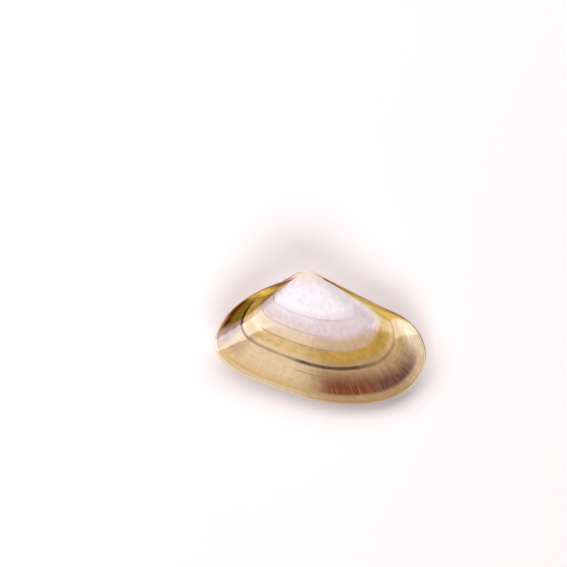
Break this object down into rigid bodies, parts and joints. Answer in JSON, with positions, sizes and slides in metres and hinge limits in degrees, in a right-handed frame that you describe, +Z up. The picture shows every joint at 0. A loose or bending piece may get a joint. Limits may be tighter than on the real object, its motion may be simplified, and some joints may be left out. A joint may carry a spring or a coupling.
{
  "type": "tellin shell",
  "caption": "Closed tellin shell: a flattened wedge-shaped clam with domed halves that meet along a thin seam, growth ledges, and a short ligament behind the beaks. It lies on its side.",
  "frame": {"origin": "on the ground under the middle of the shell's box, as it lies on its left valve", "axes": "+Z up, +X along the shell's length towards its longer front end, +Y towards the hinge side"},
  "size_m": [0.036, 0.0212, 0.0107],
  "materials": {
    "right_valve": "glossy wet-looking shell, chalk white beak, ochre and sand bands, reddish brown rays, dark growth lines",
    "left_valve": "glossy wet-looking shell, banded as the other half, with more violet grey",
    "ligament": "smooth horny red-brown band, slightly wet"
  },
  "bodies": {
    "root": {"right_valve": "right_valve", "left_valve": "left_valve", "ligament": "ligament"}
  },
  "joints": []
}
